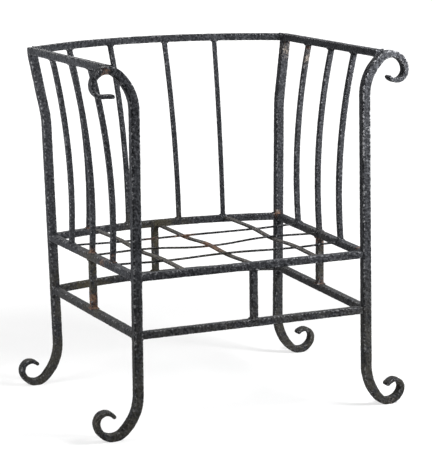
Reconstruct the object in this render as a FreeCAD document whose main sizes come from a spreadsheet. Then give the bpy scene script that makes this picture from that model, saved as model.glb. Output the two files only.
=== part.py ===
import FreeCAD, Part
import math
import os
import Sketcher
from FreeCAD import Placement, Rotation, Vector

# Garden armchair of forged bar: four scrolled posts, straight and bowed rails, curved side and back
# bars, and a woven seat grid. Millimetres and degrees. +Z is up, the sitter faces -Y, and the origin
# is on the floor, in the middle of the chair's outline.

# Driving dimensions: name, value, meaning. Heights are those of bar centre lines above the floor.
DIMENSIONS = (
    ("front_width", 569, "front posts, centre to centre, at the floor"),
    ("rear_width", 593, "rear posts, centre to centre, at the floor"),
    ("seat_depth", 528, "front posts to rear posts, centre to centre"),
    ("lean_front_left", -0.62, "degrees that the front left post leans outward"),
    ("lean_front_right", -0.25, "degrees that the front right post leans outward"),
    ("lean_rear", 1.03, "degrees that each rear post leans outward"),
    ("post_bar", 20, "side of the square post bar"),
    ("rail_bar", 16.5, "side of the square rail bar"),
    ("strut_bar", 15.5, "side of the square strut bar"),
    ("side_bar", 12, "side of the square side bar"),
    ("back_bar", 11, "side of the square back bar"),
    ("slat_width", 13, "width of a flat seat slat"),
    ("slat_thickness", 5, "thickness of a flat seat slat"),
    ("rod_diameter", 5, "round seat rod"),
    ("post_arris", 1.4, "worn edge of a post"),
    ("rail_arris", 1.2, "worn edge of a rail or strut"),
    ("fine_arris", 0.8, "worn edge of a side bar, back bar or slat"),
    ("seat_height", 364, "seat rails"),
    ("stretcher_height", 233, "stretchers"),
    ("arm_rear_height", 819.5, "arm rails at the rear corners, and the top back rail"),
    ("arm_front_height", 823.5, "arm rails at the front scrolls"),
    ("arm_front_width", 650, "arm rails at the front scrolls, centre to centre"),
    ("corner_width", 669, "arm rails at the rear corners, centre to centre"),
    ("corner_back", 13.5, "rear corners of the arm rails, behind the rear posts"),
    ("bend_drop", 179.5, "start of a rear post's bend toward the corner, below the arm rails"),
    ("bend_radius", 220, "bend radius of a rear post"),
    ("back_bow", 55, "bow of the seat back rail and the back stretcher"),
    ("top_bow", 128.5, "bow of the top back rail"),
    ("side_place_rear", 396, "rear side bars and rod, behind the front posts"),
    ("side_place_middle", 264, "middle side bars, rod and side struts, behind the front posts"),
    ("side_place_front", 139, "front side bars and rod, behind the front posts"),
    ("side_bow_rear", 16.5, "inward bow of a rear side bar"),
    ("side_bow_middle", 18, "inward bow of a middle side bar"),
    ("side_bow_front", 19, "inward bow of a front side bar"),
    ("back_place_one", -198, "first back bar on the seat back rail, from the middle"),
    ("back_place_two", -86, "second back bar"),
    ("back_place_three", 51, "third back bar"),
    ("back_place_four", 166, "fourth back bar"),
    ("back_bow_one", 27, "forward bow of the first back bar"),
    ("back_bow_two", 22, "forward bow of the second back bar"),
    ("back_bow_three", 21, "forward bow of the third back bar"),
    ("back_bow_four", 22, "forward bow of the fourth back bar"),
    ("back_fan", 1.083, "places of the back bars at the top, times their places at the seat"),
    ("back_shift", -1.5, "tops of the back bars, sideways"),
    ("back_strut_place", -15, "back strut, from the middle"),
    ("slat_pitch_front", 162, "spacing of the slats at the front rail"),
    ("slat_pitch_rear", 177, "spacing of the slats at the back rail"),
    ("slat_shift_rear", -5, "rear ends of the slats, sideways"),
    ("slat_raise", 3, "seat grid above the middle of the seat rails"),
    ("slat_sag", 7, "rear end of the middle slat, below the others"),
    ("weave_gap", 0.1, "clearance between a rod and the slat that it crosses"),
    ("foot_flat", 0.6, "depth of the worn flat under each foot"),
    ("crown_drop", 92.5, "start of a front post's curl, below the arm rails"),
    ("tip_thickness", 8, "thickness of a drawn-out scroll end"),
    ("tip_width", 25, "width of a drawn-out scroll end"),
    ("nose_length", 3, "rounded nose of a scroll end"),
    ("rail_weld", 1.8, "leg of the weld bead round a rail"),
    ("bar_weld", 3, "leg of the weld bead round a strut, side bar or back bar"),
    ("grid_weld", 1.6, "leg of the weld bead round a slat or rod"),
)

# Scrolls, each bent by hand: radii of the long bend, the curl and its end, the degrees that each of the
# three turns, the straight run at the tip, and the shares of the scroll's length where the bar starts
# to be drawn out and has its final section.
SCROLL_COLUMNS = (
    "sweep", "curl", "end", "sweep_turn", "curl_turn", "end_turn", "run", "taper_from", "taper_to",
)
SCROLLS = (
    ("foot_front_left", 109, 37.5, 21.5, 49, 128, 145, 2, 0.35, 0.98),
    ("foot_front_right", 120, 33.5, 19.5, 43, 124, 141, 8, 0.28, 0.96),
    ("foot_rear", 114.5, 34, 21.5, 48.5, 122, 145, 2, 0.29, 0.97),
    ("crown_left", 109, 34, 21.5, 51, 133, 85, 25, 0.39, 0.76),
    ("crown_right", 106.5, 38.5, 23.5, 51, 127, 140, 2, 0.29, 0.96),
)

doc = FreeCAD.newDocument("garden_armchair")
sheet = doc.addObject("Spreadsheet::Sheet", "dims")
rows = list(DIMENSIONS)
for scroll_name, *numbers in SCROLLS:
    rows += [(f"{scroll_name}_{column}", number, column) for column, number in zip(SCROLL_COLUMNS, numbers)]
for row, (alias, value, meaning) in enumerate(rows, start=1):
    sheet.set(f"A{row}", alias)
    sheet.set(f"B{row}", str(value))
    sheet.setAlias(f"B{row}", alias)
    sheet.set(f"C{row}", meaning)
doc.recompute()

X_AXIS = Vector(1, 0, 0)
Y_AXIS = Vector(0, 1, 0)
Z_AXIS = Vector(0, 0, 1)
SIDES = {"left": -1, "right": 1}
BACK_BARS = ("one", "two", "three", "four")
SIDE_PLACES = ("rear", "middle", "front")

# Bends: most degrees from one ring of corners to the next. Weave: least rise that is bent into the
# rods, and rings from one crossing of a slat to the next.
STATION_TURN = math.radians(9)
LEAST_RISE = 0.01
WEAVE_STEPS = 4

# Beads, as shares of their leg: how far they sink into the face that they lie on, and how thick they
# are at their thin end. Each loses at least this share of its volume to the pieces that it joins.
BEAD_SINK = 0.3
BEAD_EDGE = 0.1
LEAST_BEAD_CUT = 0.3
LEAST_BEAD_VOLUME = 1


def dim(alias):
    """Number that the sheet holds under this name."""
    return float(sheet.get(alias))


# Plan of the frame. The outline runs from the drawn-out scroll ends in front to the back of the bowed
# top rail, and the origin is half way between them.
front_reach = dim("tip_width") / 2
rear_reach = dim("corner_back") + dim("top_bow") + dim("rail_bar") / 2
front_y = front_reach - (front_reach + dim("seat_depth") + rear_reach) / 2
rear_y = front_y + dim("seat_depth")
corner_x = dim("corner_width") / 2
corner_y = rear_y + dim("corner_back")
seat_z = dim("seat_height")
stretcher_z = dim("stretcher_height")
grid_z = seat_z + dim("slat_raise")


def lean(row, side):
    """Angle by which the shank of a post leans outward."""
    return math.radians(dim("lean_rear") if row == "rear" else dim(f"lean_front_{side}"))


def post_x(row, side, z):
    """Distance of a post's straight axis from the middle of the chair, at this height."""
    return dim(f"{row}_width") / 2 + z * math.tan(lean(row, side))


def post_point(row, side, z):
    """Point of a post's straight axis."""
    return Vector(SIDES[side] * post_x(row, side, z), front_y if row == "front" else rear_y, z)


def rail_point(side, y, z):
    """Point of a side rail's or stretcher's centre line, at y."""
    front, rear = post_point("front", side, z), post_point("rear", side, z)
    return front + (rear - front) * ((y - front_y) / (rear_y - front_y))


def arm_point(side, y):
    """Point of an arm rail's centre line, at y."""
    front = Vector(SIDES[side] * dim("arm_front_width") / 2, front_y, dim("arm_front_height"))
    rear = Vector(SIDES[side] * corner_x, corner_y, dim("arm_rear_height"))
    return front + (rear - front) * ((y - front_y) / (corner_y - front_y))


def inner_normal(side, start, end):
    """Level direction from a rail of this side, which runs from start to end, to the chair's middle."""
    return Z_AXIS.cross(end - start).normalize() * SIDES[side]


def bow_radius(half_span, bow):
    """Radius of an arc over twice half_span that stands out by bow."""
    return half_span ** 2 / (2 * bow) + bow / 2


def bowed_point(x, half_span, bow, ends_y, z):
    """Point, at x, of the centre line of a rail that is bowed to the rear."""
    radius = bow_radius(half_span, bow)
    return Vector(x, ends_y + bow - radius + math.sqrt(radius ** 2 - x ** 2), z)


def seat_back_point(x, z):
    """Point of the seat back rail's or back stretcher's centre line."""
    return bowed_point(x, post_x("rear", "left", z), dim("back_bow"), rear_y, z)


def top_back_point(x):
    """Point of the top back rail's centre line."""
    return bowed_point(x, corner_x, dim("top_bow"), corner_y, dim("arm_rear_height"))


def forward_at(x, half_span, bow):
    """Level direction, at x, from a bowed rail toward the middle of its arc."""
    return Vector(-x, -math.sqrt(bow_radius(half_span, bow) ** 2 - x ** 2), 0).normalize()


def end_directions(start, end, bow, outward):
    """Directions in which a bowed bar leaves its two ends."""
    chord = (end - start).normalize()
    half_span = (end - start).Length / 2
    tilt = math.asin(half_span / bow_radius(half_span, bow))
    out = (outward - chord * outward.dot(chord)).normalize()
    return [chord * (way * math.cos(tilt)) + out * math.sin(tilt) for way in (1, -1)]


# Bars of one section: a rectangle tied to the sheet, drawn out straight or swung about an axis, with
# its long edges worn off.
def section_sketch(body, plane_role, width, height, offset):
    """Rectangle round the point (offset, 0) of one of the body's origin planes."""
    sketch = body.newObject("Sketcher::SketchObject", body.Name + "_section")
    plane = next(f for f in body.Origin.OriginFeatures if f.Role == plane_role)
    sketch.AttachmentSupport = [(plane, "")]
    sketch.MapMode = "FlatFace"
    half_w, half_h = dim(width) / 2, dim(height) / 2
    signs = ((-1, -1), (1, -1), (1, 1), (-1, 1))
    corners = [Vector(offset + sx * half_w, sy * half_h, 0) for sx, sy in signs]
    for start, end in zip(corners, corners[1:] + corners[:1]):
        sketch.addGeometry(Part.LineSegment(start, end), False)
    for line in range(4):
        sketch.addConstraint(Sketcher.Constraint("Coincident", line, 2, (line + 1) % 4, 1))
    for line, direction in enumerate(("Horizontal", "Vertical") * 2):
        sketch.addConstraint(Sketcher.Constraint(direction, line))
    rules = (
        (("DistanceX", 0, 1, 0, 2, 2 * half_w), f"dims.{width}"),
        (("DistanceY", 1, 1, 1, 2, 2 * half_h), f"dims.{height}"),
        (("DistanceX", -1, 1, 0, 1, offset - half_w), f"{offset} - dims.{width} / 2"),
        (("DistanceY", -1, 1, 0, 1, -half_h), f"-dims.{height} / 2"),
    )
    for constraint, rule in rules:
        index = sketch.addConstraint(Sketcher.Constraint(*constraint))
        sketch.setExpression(f"Constraints[{index}]", rule)
    return sketch


def wear_long_edges(body, feature, arris, is_long):
    """Chamfer the edges of feature that run along the bar."""
    doc.recompute([feature])
    names = [f"Edge{i}" for i, edge in enumerate(feature.Shape.Edges, start=1) if is_long(edge)]
    chamfer = body.newObject("PartDesign::Chamfer", body.Name + "_arris")
    chamfer.Base = (feature, names)
    chamfer.setExpression("Size", f"dims.{arris}")


def straight_bar(name, start, end, width, height, arris):
    """Bar from start to end: width across, level with the floor, and height square to it."""
    body = doc.addObject("PartDesign::Body", name + "_stock")
    pad = body.newObject("PartDesign::Pad", name + "_pad")
    pad.Profile = section_sketch(body, "XY_Plane", width, height, 0)
    pad.Length = (end - start).Length
    wear_long_edges(body, pad, arris, lambda edge: abs(edge.tangentAt(edge.FirstParameter).z) > 0.5)
    along = (end - start).normalize()
    level = Y_AXIS if abs(along.z) > 0.9 else Z_AXIS
    across = level.cross(along).normalize()
    body.Placement = Placement(start, Rotation(across, along.cross(across), along, "ZXY"))
    return body


def bowed_bar(name, start, end, bow, outward, size, arris):
    """Square bar bent to an arc from start to end that stands out by bow on the outward side."""
    along = (end - start).normalize()
    out = (outward - along * outward.dot(along)).normalize()
    half_span = (end - start).Length / 2
    radius = bow_radius(half_span, bow)
    body = doc.addObject("PartDesign::Body", name + "_stock")
    sketch = section_sketch(body, "XZ_Plane", size, size, radius)
    bend = body.newObject("PartDesign::Revolution", name + "_bend")
    bend.Profile = sketch
    bend.ReferenceAxis = (sketch, ["V_Axis"])
    bend.Angle = 2 * math.degrees(math.asin(half_span / radius))
    bend.Midplane = True
    wear_long_edges(body, bend, arris, lambda edge: edge.Curve.TypeId == "Part::GeomCircle")
    middle = (start + end) * 0.5
    body.Placement = Placement(middle - out * (radius - bow), Rotation(out, along, out.cross(along), "XYZ"))
    return body


def butt_joint(name, stock, *neighbours):
    """Sub-part: the stock, cut off where it meets its neighbours."""
    tool = neighbours[0]
    if len(neighbours) > 1:
        tool = doc.addObject("Part::Compound", name + "_neighbours")
        tool.Links = list(neighbours)
    cut = doc.addObject("Part::Cut", name)
    cut.Label = name
    cut.Base = stock
    cut.Tool = tool
    return cut


def feature(name, shape):
    """Sub-part whose shape is worked out here."""
    part = doc.addObject("Part::Feature", name)
    part.Label = name
    part.Shape = shape
    part.Placement = Placement()
    return part


# Posts: the bar is bent to arcs of falling radius, and drawn out thinner and wider to a rounded nose.
def worn_outline(half_width, half_height, arris):
    """Corners of a rectangle with worn edges, round its middle."""
    return (
        (-half_width, arris - half_height), (-half_width, half_height - arris),
        (arris - half_width, half_height), (half_width - arris, half_height),
        (half_width, half_height - arris), (half_width, arris - half_height),
        (half_width - arris, -half_height), (arris - half_width, -half_height),
    )


def ring(point, along, across, thickness, width, arris):
    """Corners of a bar with worn edges, square to its run."""
    face = along.cross(across).normalize()
    return [point + face * f + across * a for f, a in worn_outline(thickness / 2, width / 2, arris)]


def flat_face(corners):
    """Flat face inside these corners."""
    return Part.Face(Part.makePolygon(corners + corners[:1]))


def skin(rings):
    """Side faces of a bent bar that runs through these rings of corners."""
    lengths = [0.0]
    for ring_a, ring_b in zip(rings, rings[1:]):
        lengths.append(lengths[-1] + ((ring_b[0] + ring_b[4]) - (ring_a[0] + ring_a[4])).Length / 2)
    edges = []
    for corner_run in zip(*rings):
        curve = Part.BSplineCurve()
        curve.interpolate(Points=list(corner_run), Parameters=lengths)
        edges.append(curve.toShape())
    return [Part.makeRuledSurface(*pair, 1) for pair in zip(edges, edges[1:] + edges[:1])]


def flat_skin(low, high):
    """Flat side faces between two rings of corners."""
    around = list(zip(low, high))
    return [flat_face([a, b, d, c]) for (a, c), (b, d) in zip(around, around[1:] + around[:1])]


def solid_bar(faces):
    """Solid inside faces that close round a bar."""
    shell = Part.makeShell(faces)
    shell.sewShape()
    return Part.Solid(shell)


def curl_line(heading, turn_sign, radii, turns, run):
    """Stations of tangent arcs and a straight run, from (0, 0): outward, up, heading, length so far."""
    outward, up, length = 0.0, 0.0, 0.0
    stations = [(outward, up, heading, length)]
    steps = []
    for radius, turn in zip(radii, turns):
        count = math.ceil(turn / STATION_TURN)
        steps += [(turn / count, 2 * radius * math.sin(turn / count / 2), radius * turn / count)] * count
    run_count = math.ceil(run / (radii[-1] * STATION_TURN))
    steps += [(0.0, run / run_count, run / run_count)] * run_count
    for turned, chord, stretch in steps:
        middle = heading + turn_sign * turned / 2
        outward += chord * math.cos(middle)
        up += chord * math.sin(middle)
        heading += turn_sign * turned
        length += stretch
        stations.append((outward, up, heading, length))
    return stations


def curl_rings(stations, taper, base, sign):
    """Rings of corners of a scroll that is drawn out to its end, and one more for its nose."""
    taper_from, taper_to = (share * stations[-1][3] for share in taper)
    bar, arris = dim("post_bar"), dim("post_arris")
    rings = []
    for outward, up, heading, length in stations:
        share = min(1.0, max(0.0, (length - taper_from) / (taper_to - taper_from)))
        thickness = bar + (dim("tip_thickness") - bar) * share
        width = bar + (dim("tip_width") - bar) * share
        point = base + Vector(sign * outward, 0, up)
        along = Vector(sign * math.cos(heading), 0, math.sin(heading))
        rings.append(ring(point, along, Y_AXIS, thickness, width, arris))
    nose_thickness = dim("tip_thickness") / 2
    nose_width = dim("tip_width") - dim("tip_thickness") / 2
    nose = ring(point + along * dim("nose_length"), along, Y_AXIS, nose_thickness, nose_width, arris / 2)
    return rings, nose


def scroll(name, row, side):
    """Faces of a foot or a top scroll, and the ring of corners where it leaves the straight shank."""
    radii = [dim(f"{name}_{column}") for column in ("sweep", "curl", "end")]
    turns = [math.radians(dim(f"{name}_{column}_turn")) for column in ("sweep", "curl", "end")]
    taper = [dim(f"{name}_taper_{column}") for column in ("from", "to")]
    is_foot = name.startswith("foot")
    heading, turn_sign = (-math.pi / 2, 1) if is_foot else (math.pi / 2, -1)
    stations = curl_line(heading - lean(row, side), turn_sign, radii, turns, dim(f"{name}_run"))
    start_z = dim("arm_front_height") - dim("crown_drop")
    if is_foot:
        rings, _ = curl_rings(stations, taper, Vector(), SIDES[side])
        start_z = -min(corner.z for corners in rings for corner in corners) - dim("foot_flat")
    rings, nose = curl_rings(stations, taper, post_point(row, side, start_z), SIDES[side])
    return skin(rings) + flat_skin(rings[-1], nose) + [flat_face(nose)], rings[0]


def shank_direction(row, side):
    """Upward direction of a post's straight shank."""
    return Vector(SIDES[side] * math.sin(lean(row, side)), 0, math.cos(lean(row, side)))


def post_ring(point, along):
    """Corners of a post whose section keeps facing the front while it leans."""
    across = (Y_AXIS - along * Y_AXIS.dot(along)).normalize()
    return ring(point, along, across, dim("post_bar"), dim("post_bar"), dim("post_arris"))


def stand_on_floor(shape):
    """Cut off what reaches below the floor, which leaves the flat that the foot stands on."""
    reach = dim("front_width")
    middle = shape.BoundBox.Center
    corner = Vector(middle.x - reach / 2, middle.y - reach / 2, -reach)
    return shape.cut(Part.makeBox(reach, reach, reach, corner))


def front_post(name, side):
    """Post with a foot scroll and a top scroll, both curled outward."""
    foot, foot_top = scroll(f"foot_front_{side}", "front", side)
    crown, crown_low = scroll(f"crown_{side}", "front", side)
    shank = flat_skin(post_order(foot_top, "front", side), post_order(crown_low, "front", side))
    return feature(name, stand_on_floor(solid_bar(foot + shank + crown)))


def post_order(corners, row, side):
    """Corners of a ring of the shank, in the order of post_ring."""
    point = sum(corners, Vector()) * (1 / len(corners))
    wanted = post_ring(point, shank_direction(row, side))
    return [min(corners, key=lambda corner: (corner - target).Length) for target in wanted]


def bend_angle(reach, rise, radius):
    """Angle of the straight stretch after a bend, for a bar that moves by reach over rise."""
    inner = radius - reach
    return math.atan2(rise, inner) - math.acos(radius / math.hypot(inner, rise))


def rear_post(name, side, arm_stock):
    """Post whose top bends out and back to the corner, cut off under the arm rail that lies on it."""
    foot, foot_top = scroll("foot_rear", "rear", side)
    bend_z = dim("arm_rear_height") - dim("bend_drop")
    base, upward = post_point("rear", side, bend_z), shank_direction("rear", side)
    end = arm_point(side, corner_y)
    rise = (end - base).dot(upward)
    toward = end - base - upward * rise
    reach, radius = toward.Length, dim("bend_radius")
    toward.normalize()
    angle = bend_angle(reach, rise, radius)
    steps = math.ceil(angle / STATION_TURN) + 1
    rings = []
    for turned in (angle * step / steps for step in range(steps + 1)):
        along = toward * math.sin(turned) + upward * math.cos(turned)
        point = base + toward * (radius * (1 - math.cos(turned))) + upward * (radius * math.sin(turned))
        rings.append(post_ring(point, along))
    top = post_ring(end, along)
    shank = flat_skin(post_order(foot_top, "rear", side), rings[0])
    bend = skin(rings) + flat_skin(rings[-1], top) + [flat_face(top)]
    cap_size = 8 * dim("rail_bar")
    corner = Vector(-cap_size / 2, -dim("rail_bar") / 2, -cap_size / 2)
    cap = Part.makeBox(cap_size, cap_size, cap_size, corner)
    cap.Placement = Placement(end, arm_stock.Placement.Rotation).multiply(cap.Placement)
    return feature(name, stand_on_floor(solid_bar(foot + shank + bend)).cut(cap))


# Seat grid: slats and rods pass over and under each other, and each gives way by half.
def woven_line(points):
    """Wire of tangent arcs through points of one vertical plane, level at each of them."""
    edges = []
    for start, end in zip(points, points[1:]):
        middle = (start + end) * 0.5
        run = Vector(end.x - start.x, end.y - start.y, 0)
        rise = end.z - start.z
        if abs(rise) < LEAST_RISE:
            edges.append(Part.LineSegment(start, end).toShape())
            continue
        radius = (run.Length ** 2 + rise ** 2) / (4 * abs(rise))
        turned = math.asin(run.Length / 2 / radius) / 2
        step = Vector(run).normalize() * (radius * math.sin(turned))
        step.z = math.copysign(radius * (1 - math.cos(turned)), rise)
        edges.append(Part.Arc(start, start + step, middle).toShape())
        edges.append(Part.Arc(middle, end - step, end).toShape())
    return Part.Wire(edges)


def slat_ends(index):
    """Ends of a slat's straight line, in the middle of the front and back rails, for index -1, 0 or 1."""
    front = Vector(index * dim("slat_pitch_front"), front_y, grid_z)
    rear = seat_back_point(index * dim("slat_pitch_rear") + dim("slat_shift_rear"), grid_z)
    if index == 0:
        rear.z -= dim("slat_sag")
    return front, rear


def crossing_points(index, place):
    """Points of a slat and of a rod where they cross. The rods pass over every other slat."""
    lift = (dim("slat_thickness") + dim("rod_diameter")) / 4 + dim("weave_gap") / 2
    rod_over = 1 if (index == 0) != (place == "middle") else -1
    front, rear = slat_ends(index)
    point = front + (rear - front) * (dim(f"side_place_{place}") / (rear.y - front_y))
    return point - Z_AXIS * (rod_over * lift), point + Z_AXIS * (rod_over * lift)


def woven_slat(index):
    """Flat bar from the front rail to the back rail that is level where it crosses the three rods."""
    start, end = slat_ends(index)
    points = [start] + [crossing_points(index, place)[0] for place in reversed(SIDE_PLACES)] + [end]
    along = Vector(end.x - start.x, end.y - start.y, 0).normalize()
    across = Z_AXIS.cross(along)
    stations = [points[0]]
    for low, high in zip(points, points[1:]):
        for share in (step / WEAVE_STEPS for step in range(1, WEAVE_STEPS + 1)):
            station = low + (high - low) * share
            station.z = low.z + (high.z - low.z) * share ** 2 * (3 - 2 * share)
            stations.append(station)
    size = (dim("slat_thickness"), dim("slat_width"), dim("fine_arris"))
    rings = [ring(station, along, across, *size) for station in stations]
    return solid_bar(skin(rings) + [flat_face(rings[0]), flat_face(rings[-1])])


def woven_rod(place):
    """Round rod from side rail to side rail, through the three slats."""
    y = front_y + dim(f"side_place_{place}")
    ends = [rail_point(side, y, grid_z) for side in SIDES]
    points = [ends[0]] + [crossing_points(index, place)[1] for index in (-1, 0, 1)] + [ends[1]]
    section = Part.Wire(Part.makeCircle(dim("rod_diameter") / 2, points[0], X_AXIS))
    return Part.Wire(woven_line(points)).makePipeShell([section], True, False)


# Weld beads: a sloped collar round the end of each bar, cut to lie on both pieces that it joins.
def bead(point, along, facing, depth, size, leg):
    """Sloped collar round a bar of this width and height, at the face that the bar comes out of.

    The bar runs from point in the direction along. The face is at this depth from point and looks in
    the direction facing, and both ends of the collar are parallel to it.
    """
    level = Y_AXIS if abs(along.z) > 0.9 else Z_AXIS
    across = level.cross(along).normalize()
    upward = along.cross(across)
    slope = 1 - BEAD_EDGE
    rings = []
    for distance, extra in ((-BEAD_SINK * leg, (1 + BEAD_SINK * slope) * leg), (leg, BEAD_EDGE * leg)):
        corners = []
        for sx, sy in ((-1, -1), (1, -1), (1, 1), (-1, 1)):
            offset = across * (sx * (size[0] / 2 + extra)) + upward * (sy * (size[1] / 2 + extra))
            slide = (depth + distance - offset.dot(facing)) / along.dot(facing)
            corners.append(point + offset + along * slide)
        rings.append(corners)
    return solid_bar(flat_skin(*rings) + [flat_face(corners) for corners in rings])


def cut_clear(name, collar, near):
    """Bead without what lies inside the pieces near it, cut off all at once or one after another."""
    most_volume = (1 - LEAST_BEAD_CUT) * collar.Volume
    rest = collar.cut(near)
    if rest.Volume > most_volume:
        rest = collar
        for shape in near:
            rest = rest.cut(shape)
    if rest.Volume > most_volume:
        raise RuntimeError(f"a bead of {name} was not cut clear")
    return rest


def weld_group(name, beads, pieces):
    """Sub-part: all beads of one kind, clear of the pieces that they join."""
    solids = []
    for collar in beads:
        near = [piece.Shape for piece in pieces if piece.Shape.BoundBox.intersect(collar.BoundBox)]
        rest = cut_clear(name, collar, near)
        solids += [solid for solid in rest.Solids if solid.Volume > LEAST_BEAD_VOLUME]
    return feature(name, Part.makeCompound(solids))


def check_shapes(parts):
    """Stop at a sub-part whose shape is missing or damaged."""
    for part in parts:
        if part.Shape.isNull() or not part.Shape.isValid() or not part.Shape.Solids:
            raise RuntimeError(f"{part.Label} has no valid shape")


sub_parts = []
drop = Vector(0, 0, stretcher_z - seat_z)
half_post = dim("post_bar") / 2
half_rail = dim("rail_bar") / 2
rail_size = (dim("rail_bar"), dim("rail_bar"))
strut_size = (dim("strut_bar"), dim("strut_bar"))
side_size = (dim("side_bar"), dim("side_bar"))
back_size = (dim("back_bar"), dim("back_bar"))
slat_size = (dim("slat_width"), dim("slat_thickness"))
rod_size = (dim("rod_diameter"), dim("rod_diameter"))

# The arm rails start at the front posts' scrolls and lie on the rear posts.
posts = {("front", side): front_post(f"front_{side}_post", side) for side in SIDES}
arm_stocks = {}
arm_rails = {}
for side in SIDES:
    name = f"{side}_arm_rail"
    start, end = arm_point(side, front_y + half_post), arm_point(side, corner_y + half_post)
    arm_stocks[side] = straight_bar(name, start, end, "rail_bar", "rail_bar", "rail_arris")
    arm_rails[side] = butt_joint(name, arm_stocks[side], posts["front", side])
    posts["rear", side] = rear_post(f"rear_{side}_post", side, arm_stocks[side])
sub_parts += list(posts.values()) + list(arm_rails.values())

corners = [arm_point(side, corner_y) for side in SIDES]
top_stock = bowed_bar("top_back_rail", *corners, dim("top_bow"), Y_AXIS, "rail_bar", "rail_arris")
top_rail = butt_joint("top_back_rail", top_stock, *arm_rails.values())
sub_parts.append(top_rail)

# Straight rails and stretchers run between post centres, and end at the posts' faces.
frames = {}
for z, prefix, suffix in ((seat_z, "seat_", "_rail"), (stretcher_z, "", "_stretcher")):
    rails = {}
    runs = {"front": [("front", side) for side in SIDES]}
    for side in SIDES:
        runs[side] = [(row, side) for row in ("front", "rear")]
    for place, run in runs.items():
        name = f"{prefix}{place}{suffix}"
        ends = [post_point(row, side, z) for row, side in run]
        stock = straight_bar(name, *ends, "rail_bar", "rail_bar", "rail_arris")
        rails[place] = butt_joint(name, stock, *(posts[key] for key in run))
    name = f"{prefix}back{suffix}"
    run = [("rear", side) for side in SIDES]
    ends = [post_point(row, side, z) for row, side in run]
    stock = bowed_bar(name, *ends, dim("back_bow"), Y_AXIS, "rail_bar", "rail_arris")
    rails["back"] = butt_joint(name, stock, *(posts[key] for key in run))
    frames[prefix] = rails
    sub_parts += list(rails.values())
seat_rails, stretchers = frames["seat_"], frames[""]

# Struts stand on the stretchers, under the seat rails.
strut_y = front_y + dim("side_place_middle")
strut_places = {
    "front": [Vector(0, front_y, z) for z in (stretcher_z, seat_z)],
    "left": [rail_point("left", strut_y, z) for z in (stretcher_z, seat_z)],
    "right": [rail_point("right", strut_y, z) for z in (stretcher_z, seat_z)],
    "back": [seat_back_point(dim("back_strut_place"), z) for z in (stretcher_z, seat_z)],
}
strut_beads = []
struts = []
for place, (low, high) in strut_places.items():
    name = f"{place}_strut"
    stock = straight_bar(name, low, high, "strut_bar", "strut_bar", "rail_arris")
    struts.append(butt_joint(name, stock, stretchers[place], seat_rails[place]))
    for point, along in ((low, Z_AXIS), (high, -Z_AXIS)):
        strut_beads.append(bead(point, along, along, half_rail, strut_size, dim("bar_weld")))
sub_parts += struts


# Side bars bow inward between the seat rails and the arm rails.
side_beads = []
side_bars = []
for side, sign in SIDES.items():
    arm_way = arm_point(side, corner_y) - arm_point(side, front_y)
    arm_under = inner_normal(side, Vector(), arm_way).cross(arm_way).normalize() * sign
    for place in SIDE_PLACES:
        name = f"{side}_side_bar_{place}"
        y = front_y + dim(f"side_place_{place}")
        start, end = rail_point(side, y, seat_z), arm_point(side, y)
        bow, inward = dim(f"side_bow_{place}"), X_AXIS * -sign
        stock = bowed_bar(name, start, end, bow, inward, "side_bar", "fine_arris")
        side_bars.append(butt_joint(name, stock, seat_rails[side], arm_rails[side]))
        ways = end_directions(start, end, bow, inward)
        for point, along, facing in zip((start, end), ways, (Z_AXIS, arm_under)):
            side_beads.append(bead(point, along, facing, half_rail, side_size, dim("bar_weld")))
sub_parts += side_bars

# Back bars fan out a little and lean back between the two bowed rails, which they face squarely.
back_beads = []
back_bars = []
for index, word in enumerate(BACK_BARS, start=1):
    name = f"back_bar_{index}"
    low_x = dim(f"back_place_{word}")
    high_x = low_x * dim("back_fan") + dim("back_shift")
    start, end = seat_back_point(low_x, seat_z), top_back_point(high_x)
    low_forward = forward_at(low_x, post_x("rear", "left", seat_z), dim("back_bow"))
    forward = (low_forward + forward_at(high_x, corner_x, dim("top_bow"))).normalize()
    bow = dim(f"back_bow_{word}")
    stock = bowed_bar(name, start, end, bow, forward, "back_bar", "fine_arris")
    back_bars.append(butt_joint(name, stock, seat_rails["back"], top_rail))
    ways = end_directions(start, end, bow, forward)
    for point, along, facing in zip((start, end), ways, (Z_AXIS, -Z_AXIS)):
        back_beads.append(bead(point, along, facing, half_rail, back_size, dim("bar_weld")))
sub_parts += back_bars

# Seat grid: three flat slats from front to rear, and three rods from side to side.
slats = []
grid_beads = []
for index, place in ((-1, "left"), (0, "middle"), (1, "right")):
    stock = doc.addObject("Part::Feature", f"seat_slat_{place}_stock")
    stock.Shape = woven_slat(index)
    slats.append(butt_joint(f"seat_slat_{place}", stock, seat_rails["front"], seat_rails["back"]))
    start, end = slat_ends(index)
    along = Vector(end.x - start.x, end.y - start.y, 0).normalize()
    rear_facing = forward_at(end.x, post_x("rear", "left", grid_z), dim("back_bow"))
    for point, way, facing in ((start, along, Y_AXIS), (end, -along, rear_facing)):
        grid_beads.append(bead(point, way, facing, half_rail, slat_size, dim("grid_weld")))
rods = []
for place in SIDE_PLACES:
    stock = doc.addObject("Part::Feature", f"seat_rod_{place}_stock")
    stock.Shape = woven_rod(place)
    rods.append(butt_joint(f"seat_rod_{place}", stock, seat_rails["left"], seat_rails["right"]))
    for side, sign in SIDES.items():
        point = rail_point(side, front_y + dim(f"side_place_{place}"), grid_z)
        facing = inner_normal(side, post_point("front", side, seat_z), post_point("rear", side, seat_z))
        grid_beads.append(bead(point, X_AXIS * -sign, facing, half_rail, rod_size, dim("grid_weld")))
sub_parts += slats + rods

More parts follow.
